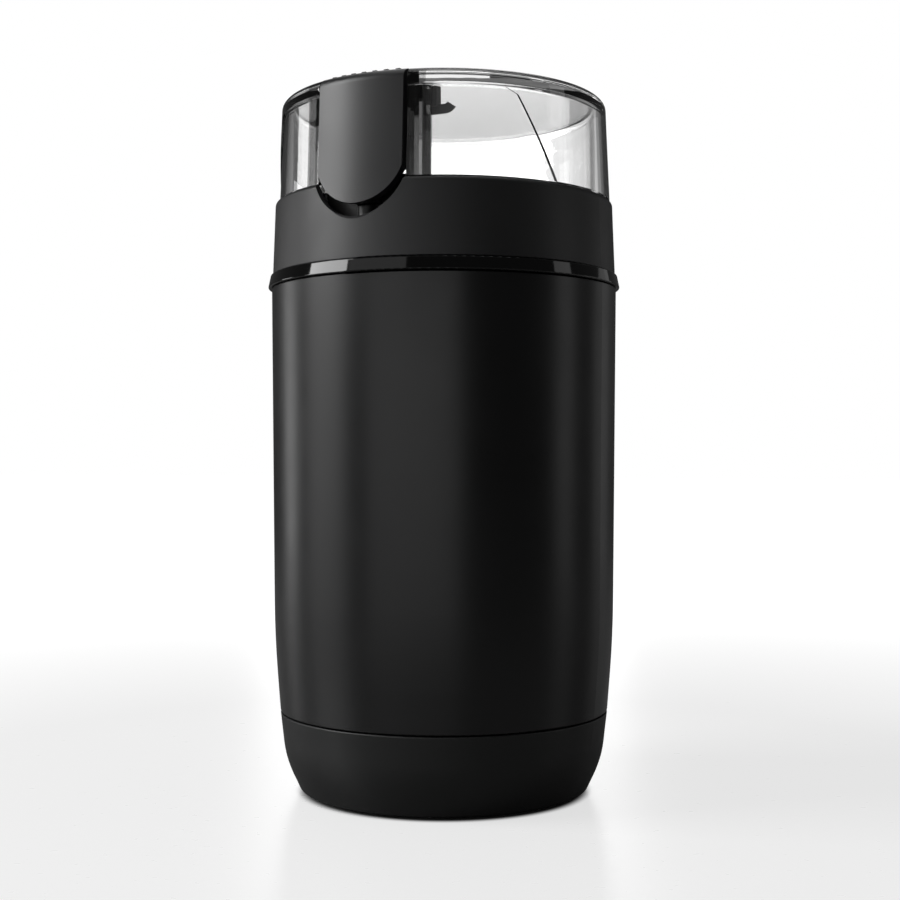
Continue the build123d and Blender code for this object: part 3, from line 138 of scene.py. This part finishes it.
# Trim ring.
# Black ABS from a mirror-polished tool, snapped over the collar's foot.
# It is the only sharp mirror on the black pieces, and shows the lamps as hard-edged patches.
polished_abs = moulded(
    "polished_abs", "030303", rough=0.06, grain_width=2 * mm, grain_depth=0.001 * mm,
)
dress(polished_abs, "trim_ring")

# Collar and press button.
# Both are ABS with a fine matt texture. The collar is screwed down from inside, and the button slides
# in the lid's channel.

# Matt ABS shows no sharp reflection, only a slow fall from light to dark. The thumb's piece has a finer
# texture, so it looks slightly glossier. The real grain, 0.03 mm wide, is drawn coarser so that it shows.
matt_abs = moulded(
    "matt_abs", "1a1a1b", rough=0.46, grain_width=0.3 * mm, grain_depth=0.006 * mm,
)
dress(matt_abs, "collar")
button_abs = moulded(
    "button_abs", "1a1a1b", rough=0.37, grain_width=0.3 * mm, grain_depth=0.004 * mm,
)
dress(button_abs, "press_button")

# Bowl carrier, switch bracket and plunger, lower motor bracket, fan, blade hub, switch and brushes.
# Inner mouldings of black nylon, screwed or snapped together inside the housing. The brushes are
# pressed graphite, as black and about as dull, and slide in their brass holders.

# The nylon comes from tools that aren't polished, so faint uneven patches show in a middling gloss.
plain_moulding = moulded(
    "plain_moulding", "0f0f0f", rough=0.44, grain_width=1.2 * mm, grain_depth=0.01 * mm,
)
dress(
    plain_moulding, "bowl_carrier", "switch_bracket", "switch_plunger", "lower_bracket",
    "cooling_fan", "blade_hub", "microswitch", "switch_actuator", "carbon_brushes",
)

# Button yoke.
# The clip that holds the button in its channel, moulded in dark grey acetal and snapped behind the wall.
# Acetal looks smooth and waxy, and this grey stands out a little from the black pieces round it.
grey_acetal = moulded(
    "grey_acetal", "3c3c3c", rough=0.5, grain_width=1 * mm, grain_depth=0.004 * mm,
)
dress(grey_acetal, "button_yoke")

# Notch shade.
# Thin black plates on the carrier's deck, just behind the wall at the collar's notch: painted shade, no
# piece of the grinder.
# They step up, with a wing at each side, so that no light comes through round the button's foot.
shade_corner = 0.15 * mm
shade_plates = (                       # each from its low corner to its high one, in millimetres
    ((-11.6, -34.9, 141.3), (11.6, -34.4, 148.3)),
    ((-9.4, -34.9, 148.2), (9.4, -34.4, 151.4)),
    ((-18.2, -32.7, 141.3), (-14.4, -32.2, 149.2)),
    ((14.4, -32.7, 141.3), (18.2, -32.2, 149.2)),
)
# The painted shade's plates, bevelled and joined in one mesh.
shade_mesh = bpy.data.meshes.new("notch_shade")
plates = bmesh.new()
for low, high in shade_plates:
    made = bmesh.ops.create_cube(plates, size=1)["verts"]
    span = [(b - a) * mm for a, b in zip(low, high)]
    middle = [(a + b) / 2 * mm for a, b in zip(low, high)]
    bmesh.ops.scale(plates, vec=span, verts=made)
    bmesh.ops.translate(plates, vec=middle, verts=made)
bmesh.ops.bevel(
    plates, geom=plates.edges, offset=shade_corner, offset_type="OFFSET", segments=2,
    profile=0.5, affect="EDGES", material=-1,
)
plates.to_mesh(shade_mesh)
plates.free()
shade = bpy.data.objects.new("notch_shade", shade_mesh)
bpy.context.scene.collection.objects.link(shade)
shade_mesh.materials.append(plain_moulding)
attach(shade, "housing")


# Grinding bowl.
# Thin stainless steel, deep drawn to a cup and then polished on a spindle.
# It is bright, and the fine scratches that run round it pull its reflections into arcs.
def turned(name, colour, rough, pitch):
    """Bright metal with fine scratches round Z."""
    scratch_low = 0.3             # nearly all of the scratches' values lie between these two
    scratch_high = 0.7
    scratch_depth = 0.002 * mm
    smoothest = 0.8               # shares of the metal's own roughness
    roughest = 1.25
    material, place = start(name)
    spot = add(material, "ShaderNodeSeparateXYZ", {"Vector": place})
    square_x = add(material, "ShaderNodeMath", {
        0: spot.outputs["X"], 1: spot.outputs["X"],
    }, operation="MULTIPLY")
    square_y = add(material, "ShaderNodeMath", {
        0: spot.outputs["Y"], 1: spot.outputs["Y"],
    }, operation="MULTIPLY")
    square = add(material, "ShaderNodeMath", {
        0: square_x.outputs[0], 1: square_y.outputs[0],
    }, operation="ADD")
    radius = add(material, "ShaderNodeMath", {0: square.outputs[0]}, operation="SQRT")
    ring = add(material, "ShaderNodeCombineXYZ", {"X": radius.outputs[0], "Z": spot.outputs["Z"]})
    scratch = add(material, "ShaderNodeTexNoise", {
        "Vector": ring.outputs[0], "Scale": 1 / pitch, "Detail": 4.0, "Roughness": 0.7,
    })
    gloss = add(material, "ShaderNodeMapRange", {
        "Value": scratch.outputs[0], "From Min": scratch_low, "From Max": scratch_high,
        "To Min": rough * smoothest, "To Max": rough * roughest,
    })
    bump = add(material, "ShaderNodeBump", {
        "Height": scratch.outputs[0], "Strength": 1.0, "Distance": scratch_depth,
    })
    surface = add(material, "ShaderNodeBsdfPrincipled", {
        "Base Color": linear(colour), "Metallic": 1.0, "Roughness": gloss.outputs[0],
        "Normal": bump.outputs[0],
    })
    add(material, "ShaderNodeOutputMaterial", {"Surface": surface.outputs[0]})
    return material


drawn_stainless = turned("drawn_stainless", "c4c3c0", rough=0.2, pitch=0.5 * mm)
dress(drawn_stainless, "grinding_bowl")

# Rotor shaft, blade nut, switch lever and brush springs.
# Bright plain steel, turned, or formed from turned wire and strip.
# It is greyer and a little duller than the bowl, with closer marks.
turned_bright_steel = turned("turned_bright_steel", "b8b8b8", rough=0.25, pitch=0.3 * mm)
dress(turned_bright_steel, "rotor_shaft", "blade_nut", "switch_lever", "brush_springs")

# Bearings.
# Bushes of bronze powder, pressed and sintered, soaked with oil and held in the motor's brackets.
# Their open pores make them brown and dull.
sintered_bronze = turned("sintered_bronze", "a8763e", rough=0.4, pitch=0.5 * mm)
dress(sintered_bronze, "upper_bearing", "lower_bearing")

# Commutator.
# Copper bars on the shaft, turned true after they are fitted, so they shine with fine rings.
turned_copper = turned("turned_copper", "c07a50", rough=0.3, pitch=0.4 * mm)
dress(turned_copper, "commutator")


# Blade.
# Stamped from stainless strip, with its two wings bent, and clamped between the hub and the nut.
# The strip's brushing leaves straight lines along it, which spread its highlights sideways.
def brushed(name, colour, rough, along, across):
    """Metal with straight brush lines along X: how long a line is, and how far it is to the next."""
    line_low = 0.3                # nearly all of the lines' values lie between these two
    line_high = 0.7
    line_depth = 0.003 * mm
    smoothest = 0.8               # shares of the metal's own roughness
    roughest = 1.3
    material, place = start(name)
    stretch = add(material, "ShaderNodeMapping", {
        "Vector": place, "Scale": (1 / along, 1 / across, 1 / across),
    })
    line = add(material, "ShaderNodeTexNoise", {
        "Vector": stretch.outputs[0], "Scale": 1.0, "Detail": 3.0,
    })
    gloss = add(material, "ShaderNodeMapRange", {
        "Value": line.outputs[0], "From Min": line_low, "From Max": line_high,
        "To Min": rough * smoothest, "To Max": rough * roughest,
    })
    bump = add(material, "ShaderNodeBump", {
        "Height": line.outputs[0], "Strength": 1.0, "Distance": line_depth,
    })
    surface = add(material, "ShaderNodeBsdfPrincipled", {
        "Base Color": linear(colour), "Metallic": 1.0, "Roughness": gloss.outputs[0],
        "Normal": bump.outputs[0],
    })
    add(material, "ShaderNodeOutputMaterial", {"Surface": surface.outputs[0]})
    return material


stamped_stainless = brushed(
    "stamped_stainless", "c8c8c6", rough=0.24, along=8 * mm, across=0.25 * mm,
)
dress(stamped_stainless, "blade")

# Screws and motor bolts.
# Rolled steel screws with zinc plate, which looks pale, slightly blue and softly cloudy.
zinc_plate = brushed("zinc_plate", "a9abac", rough=0.32, along=2 * mm, across=1 * mm)
dress(zinc_plate, "base_screws", "collar_screws", "motor_bolts", "mount_screws")

# Brush holders and switch terminals.
# Pressed from brass strip: yellow, half dull, with the strip's rolling lines.
pressed_brass = brushed("pressed_brass", "c39a55", rough=0.35, along=4 * mm, across=0.5 * mm)
dress(pressed_brass, "brush_holders", "switch_terminals")

# Upper motor bracket.
# A die casting that holds the upper bearing, bolted through the stator to the lower bracket.
# Its skin is a dull grey, with mottled marks from the flow of the metal.
die_cast = brushed("die_cast", "a5a6a6", rough=0.45, along=1.5 * mm, across=1.5 * mm)
dress(die_cast, "upper_bracket")


# Stator and rotor cores.
# Stacks of thin electrical steel, stamped and riveted, the outer one fixed and the inner on the shaft.
# The edges of the sheets show as fine grey and dark lines, one above the other.
def layered(name, colour, dark, metallic, rough, pitch):
    """Metal in thin layers, one above the other, with dark lines between them."""
    band_spacing = 2 * pi / 20    # of Wave Texture's bands, at a scale of 1
    groove_share = 0.1            # how deep a groove is, of the pitch
    material, place = start(name)
    wave = add(material, "ShaderNodeTexWave", {
        "Vector": place, "Scale": band_spacing / pitch, "Distortion": 0.3,
    }, bands_direction="Z")
    # The dark colour fills the lines between layers: real joints between steel sheets, and painted shade
    # in the grooves between wire turns.
    mixed = add(material, "ShaderNodeMix", {
        "Factor": wave.outputs[1], "A": linear(dark), "B": linear(colour),
    }, data_type="RGBA")
    bump = add(material, "ShaderNodeBump", {
        "Height": wave.outputs[1], "Strength": 1.0, "Distance": groove_share * pitch,
    })
    surface = add(material, "ShaderNodeBsdfPrincipled", {
        "Base Color": mixed.outputs["Result"], "Metallic": metallic, "Roughness": rough,
        "Normal": bump.outputs[0],
    })
    add(material, "ShaderNodeOutputMaterial", {"Surface": surface.outputs[0]})
    return material


stacked_steel = layered(
    "stacked_steel", "6f7072", dark="2c2d2e", metallic=0.8, rough=0.45, pitch=0.5 * mm,
)
dress(stacked_steel, "stator_core", "rotor_core")

# Field coils and rotor windings.
# Enamelled copper wire, wound on the cores and dipped in amber varnish.
# Row upon row of wire shows, glossy on its crowns, with painted shade making the grooves between the turns
# dark brown.
enamelled_wire = layered(
    "enamelled_wire", "9a4a20", dark="3c1a0a", metallic=0.4, rough=0.35, pitch=0.6 * mm,
)
dress(enamelled_wire, "field_coils", "rotor_windings")

# Button spring and plunger spring.
# Wound from bright steel wire and trapped upright, each under the piece that it pushes back.
# On the grinder both shorten as the button goes down, towards the seat at their lower end; these copies
# keep their length.
merge_distance = 0.001 * mm


def pressed_spring(node_name, body):
    """A copy of a spring's own solid, welded and smooth, that rides with its body in place of the CAD
    node.
    """
    source = nodes[node_name]
    turns = bmesh.new()
    turns.from_mesh(source.data)
    bmesh.ops.remove_doubles(turns, verts=turns.verts, dist=merge_distance)
    bmesh.ops.recalc_face_normals(turns, faces=turns.faces)
    for face in turns.faces:
        face.smooth = True
    mesh = bpy.data.meshes.new(node_name + "_turns")
    turns.to_mesh(mesh)
    turns.free()
    spring = bpy.data.objects.new(node_name + "_turns", mesh)
    bpy.context.scene.collection.objects.link(spring)
    mesh.materials.append(turned_bright_steel)
    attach(spring, body)
    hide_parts(node_name)
    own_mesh(spring)


pressed_spring("button_spring", "lid")
pressed_spring("plunger_spring", "housing")

# Noise capacitor and terminal block.
# Small parts on the base's floor, where the leads meet, each pushed into its seat.

# The capacitor's case is ochre polyester, filled with resin, with a soft gloss.
ochre_case = moulded(
    "ochre_case", "b98a1e", rough=0.4, grain_width=0.8 * mm, grain_depth=0.01 * mm,
)
dress(ochre_case, "noise_capacitor")

# The block is moulded in natural nylon, an off-white with a slightly waxy look.
white_nylon = moulded(
    "white_nylon", "d6d5cf", rough=0.45, grain_width=0.8 * mm, grain_depth=0.01 * mm,
)
dress(white_nylon, "terminal_block")

# Lid.
# Clear SAN, a hard glassy plastic, moulded in a polished tool. It drops into the collar and carries the
# button in a channel in its front.

# It is clear where one looks straight through it. Towards its outline, where faces turn edge on, its
# colour is painted
# black: painted shade for the dark studio it mirrors there. The channel's walls are painted grey, a
# painted reflection of the black button that shows in them.
wall_dark_from = 0.65             # on Facing, from 0 for a face seen straight to 1 for one seen edge on
wall_dark_to = 0.77
roof_dark_from = 0.62
roof_dark_to = 0.92
channel_wall_x = 13.6 * mm        # the middle of each side wall of the channel, and how far it reaches
channel_reach_x = 2.6 * mm
channel_wall_y = -35.4 * mm
channel_reach_y = 5.6 * mm
flow_width = 9 * mm               # faint waves left by the flow of the plastic
flow_depth = 0.01 * mm
clear_san, place = start("clear_san")
# Painted shade: the colour goes to black as faces turn edge on, by one ramp for the walls and one for the
# roof.
turn = add(clear_san, "ShaderNodeLayerWeight", {"Blend": 0.5})
wall_painted_dark = add(clear_san, "ShaderNodeMapRange", {
    "Value": turn.outputs["Facing"], "From Min": wall_dark_from, "From Max": wall_dark_to,
    "To Min": 0.0, "To Max": 1.0,
})
roof_painted_dark = add(clear_san, "ShaderNodeMapRange", {
    "Value": turn.outputs["Facing"], "From Min": roof_dark_from, "From Max": roof_dark_to,
    "To Min": 0.0, "To Max": 1.0,
})
outward = add(clear_san, "ShaderNodeNewGeometry", {})
slope = add(clear_san, "ShaderNodeSeparateXYZ", {"Vector": outward.outputs["Normal"]})
level_face = add(clear_san, "ShaderNodeMath", {0: slope.outputs["Z"]}, operation="ABSOLUTE")
edge = add(clear_san, "ShaderNodeMix", {
    "Factor": level_face.outputs[0], "A": wall_painted_dark.outputs[0], "B": roof_painted_dark.outputs[0],
}, data_type="FLOAT")
spot = add(clear_san, "ShaderNodeSeparateXYZ", {"Vector": place})
either_side = add(clear_san, "ShaderNodeMath", {0: spot.outputs["X"]}, operation="ABSOLUTE")
in_channel_x = add(clear_san, "ShaderNodeMath", {
    0: either_side.outputs[0], 1: channel_wall_x, 2: channel_reach_x,
}, operation="COMPARE")
in_channel_y = add(clear_san, "ShaderNodeMath", {
    0: spot.outputs["Y"], 1: channel_wall_y, 2: channel_reach_y,
}, operation="COMPARE")
channel_wall = add(clear_san, "ShaderNodeMath", {
    0: in_channel_x.outputs[0], 1: in_channel_y.outputs[0],
}, operation="MULTIPLY")
# Painted reflection: the channel's walls are painted grey where the black button shows in them.
clear_with_painted_reflection = add(clear_san, "ShaderNodeMix", {
    "Factor": channel_wall.outputs[0], "A": linear("fafafa"), "B": linear("8e8e8e"),
}, data_type="RGBA")
tint_with_painted_shade = add(clear_san, "ShaderNodeMix", {
    "Factor": edge.outputs[0], "A": clear_with_painted_reflection.outputs["Result"], "B": linear("000000"),
}, data_type="RGBA")
flow = add(clear_san, "ShaderNodeTexNoise", {"Vector": place, "Scale": 1 / flow_width, "Detail": 2.0})
ripple = add(clear_san, "ShaderNodeBump", {
    "Height": flow.outputs[0], "Strength": 1.0, "Distance": flow_depth,
})
lid_surface = add(clear_san, "ShaderNodeBsdfPrincipled", {
    "Base Color": tint_with_painted_shade.outputs["Result"], "Roughness": 0.015, "IOR": 1.57,
    "Transmission Weight": 1.0, "Normal": ripple.outputs[0],
})
add(clear_san, "ShaderNodeOutputMaterial", {"Surface": lid_surface.outputs[0]})
dress(clear_san, "lid_shell")

# Camera.
# Where the photograph was taken from: 0.38 m off, a little under half of the grinder's height.
image_width = 900                 # the photograph's size and the places in it are in pixels
photo_focus = 1487
axis_column = 444
horizon_row = 459.8
film_width = 36
distance = 383.2 * mm
camera_height = 84.2 * mm
camera_turn = radians(28.8)
lens = bpy.data.cameras.new("camera")
lens.sensor_width = film_width
lens.lens = film_width * photo_focus / image_width
camera = bpy.data.objects.new("camera", lens)
bpy.context.scene.collection.objects.link(camera)
aside = atan((image_width / 2 - axis_column) / photo_focus)
lift = atan((horizon_row - image_width / 2) / photo_focus)
camera.location = (distance * sin(camera_turn), -distance * cos(camera_turn), camera_height)
camera.rotation_euler = (pi / 2 + lift, 0, camera_turn - aside)
bpy.context.scene.camera = camera

# Floor.
# A pale plain sheet that takes the grinder's soft shadow and a faint mirror image of its foot.
# It glows where it is looked at, and more with distance, to meet the backdrop, but not under the base: a
# painted shadow there, fading out just past the base's edge.
floor_half = 6                    # in metres, as the two ends of the fade are
base_edge = 35 * mm
shadow_edge = 38.4 * mm
fade_from = 0.15
fade_to = 0.5
near_glow = 0.7                   # the far glow is 1, the backdrop's white
floor_mesh = bpy.data.meshes.new("floor")
sheet = bmesh.new()
bmesh.ops.create_grid(sheet, x_segments=1, y_segments=1, size=floor_half)
sheet.to_mesh(floor_mesh)
sheet.free()
floor = bpy.data.objects.new("floor", floor_mesh)
bpy.context.scene.collection.objects.link(floor)

# Satin paper, whose soft gloss blurs what it mirrors within a few centimetres.
paper_grain = 3 * mm              # coarser than the real 0.1 mm fibres, so that it shows
satin_paper, place = start("satin_paper")
grain = add(satin_paper, "ShaderNodeTexNoise", {"Vector": place, "Scale": 1 / paper_grain})
sheet_gloss = add(satin_paper, "ShaderNodeMapRange", {
    "Value": grain.outputs[0], "To Min": 0.25, "To Max": 0.32,
})
sheet_surface = add(satin_paper, "ShaderNodeBsdfPrincipled", {
    "Base Color": linear("8c8c8c"), "Roughness": sheet_gloss.outputs[0],
})

# Light that has been mirrored inside the lid's walls on its way sees the studio dimmer, by its number
# of mirrorings. That keeps the edges of the clear plastic dark, as black cards do in a real studio.
dim_bounces = 1.4                 # after so many mirrorings only this share is left
dim_share = 0.03


def sort_rays(material):
    """The kinds of ray, and how brightly one that comes through the clear plastic sees the studio."""
    rays = add(material, "ShaderNodeLightPath", {})
    direct = add(material, "ShaderNodeMapRange", {
        "Value": rays.outputs["Glossy Depth"], "From Min": 0.0, "From Max": dim_bounces,
        "To Min": 1.0, "To Max": dim_share,
    })
    through_walls = add(material, "ShaderNodeMath", {
        0: rays.outputs["Is Transmission Ray"], 1: direct.outputs[0],
    }, operation="MULTIPLY")
    return rays, through_walls


rays, through_walls = sort_rays(satin_paper)
seen = add(satin_paper, "ShaderNodeMath", {
    0: rays.outputs["Is Camera Ray"], 1: through_walls.outputs[0],
}, operation="MAXIMUM")
away = add(satin_paper, "ShaderNodeVectorMath", {0: place}, operation="LENGTH")
fade = add(satin_paper, "ShaderNodeMapRange", {
    "Value": away.outputs["Value"], "From Min": fade_from, "From Max": fade_to,
    "To Min": near_glow, "To Max": 1.0,
})
# Painted shadow: no glow under the base, rising to full just past its edge.
clear_of_painted_shadow = add(satin_paper, "ShaderNodeMapRange", {
    "Value": away.outputs["Value"], "From Min": base_edge, "From Max": shadow_edge,
    "To Min": 0.0, "To Max": 1.0,
}, interpolation_type="SMOOTHSTEP")
glow_past_painted_shadow = add(satin_paper, "ShaderNodeMath", {
    0: fade.outputs[0], 1: clear_of_painted_shadow.outputs[0],
}, operation="MULTIPLY")
glow = add(satin_paper, "ShaderNodeMath", {
    0: seen.outputs[0], 1: glow_past_painted_shadow.outputs[0],
}, operation="MULTIPLY")
lift_light = add(satin_paper, "ShaderNodeEmission", {
    "Color": linear("ffffff"), "Strength": glow.outputs[0],
})
lit_sheet = add(satin_paper, "ShaderNodeAddShader", {
    0: sheet_surface.outputs[0], 1: lift_light.outputs[0],
})
add(satin_paper, "ShaderNodeOutputMaterial", {"Surface": lit_sheet.outputs[0]})
floor_mesh.materials.append(satin_paper)

# Backdrop.
# White where it is looked at, straight or through the lid, and a dim studio otherwise.
# Seen through the lid's roof, it falls off overhead, where a studio's ceiling is dark.
mirror_share = 0.06               # of white: what polished faces mirror, and what lights the pieces
ambient_share = 0.05
overhead_from = 0.3               # on the height of a direction, from 0 level to 1 straight up
overhead_to = 0.6
overhead_share = 0.05
world = bpy.data.worlds.new("studio")
world.use_nodes = True
world.node_tree.nodes.clear()
rays, through_walls = sort_rays(world)
dim = add(world, "ShaderNodeMix", {
    "Factor": rays.outputs["Is Glossy Ray"], "A": ambient_share, "B": mirror_share,
}, data_type="FLOAT")
direction = add(world, "ShaderNodeTexCoord", {})
rise = add(world, "ShaderNodeSeparateXYZ", {"Vector": direction.outputs["Generated"]})
overhead_fade = add(world, "ShaderNodeMapRange", {
    "Value": rise.outputs["Z"], "From Min": overhead_from, "From Max": overhead_to,
    "To Min": 1.0, "To Max": overhead_share,
})
through_lid = add(world, "ShaderNodeMath", {
    0: through_walls.outputs[0], 1: overhead_fade.outputs[0],
}, operation="MULTIPLY")
seen = add(world, "ShaderNodeMath", {
    0: rays.outputs["Is Camera Ray"], 1: through_lid.outputs[0],
}, operation="MAXIMUM")
level = add(world, "ShaderNodeMath", {0: seen.outputs[0], 1: dim.outputs[0]}, operation="MAXIMUM")
sky = add(world, "ShaderNodeBackground", {"Color": linear("ffffff"), "Strength": level.outputs[0]})
add(world, "ShaderNodeOutputWorld", {"Surface": sky.outputs[0]})
bpy.context.scene.world = world

# Lamps.
# Tall soft boxes stand round the grinder, where the black plastic mirrors them in the photograph.
# A wide one on the left makes the bright upright bands, and the rest only lift the shadows.
reach = 0.9                       # how far the boxes stand from the grinder, in metres
top_height = 1.4                  # a square one hangs above
top_width = 1.2
top_watts = 4


def soft_box(name, bearing, spread, low, high, level):
    """A lamp panel: bearing from the camera, spread, in degrees; low and high ends; W per square metre."""
    data = bpy.data.lights.new(name, "AREA")
    data.shape = "RECTANGLE"
    data.size = 2 * reach * tan(radians(spread / 2))
    data.size_y = high - low
    data.energy = level * data.size * data.size_y
    lamp = bpy.data.objects.new(name, data)
    angle = camera_turn + radians(bearing)
    lamp.location = (reach * sin(angle), -reach * cos(angle), (low + high) / 2)
    to_axis = Vector((-lamp.location.x, -lamp.location.y, 0))
    lamp.rotation_euler = to_axis.to_track_quat("-Z", "Y").to_euler()
    bpy.context.scene.collection.objects.link(lamp)


soft_box("box_left", bearing=-82, spread=31, low=0.3, high=1.0, level=24)
soft_box("box_left_foot", bearing=-82, spread=31, low=0, high=0.3, level=4)
soft_box("box_left_rear", bearing=-119, spread=14, low=0, high=0.35, level=6.5)
soft_box("box_front", bearing=-20, spread=60, low=0, high=0.3, level=2.6)
soft_box("box_front_high", bearing=-45, spread=40, low=0.3, high=1.0, level=1.6)
soft_box("box_right", bearing=84, spread=14, low=0, high=1.0, level=2.2)
soft_box("box_right_rear", bearing=126, spread=20, low=0, high=0.4, level=1)
soft_box("box_rear", bearing=180, spread=20, low=0.1, high=1.0, level=3)
soft_box("box_rear_high", bearing=180, spread=60, low=1.1, high=1.6, level=5)
overhead = bpy.data.lights.new("box_top", "AREA")
overhead.size = top_width
overhead.energy = top_watts
top = bpy.data.objects.new("box_top", overhead)
top.location = (0, 0, top_height)
bpy.context.scene.collection.objects.link(top)

bpy.context.scene.view_settings.view_transform = "Standard"
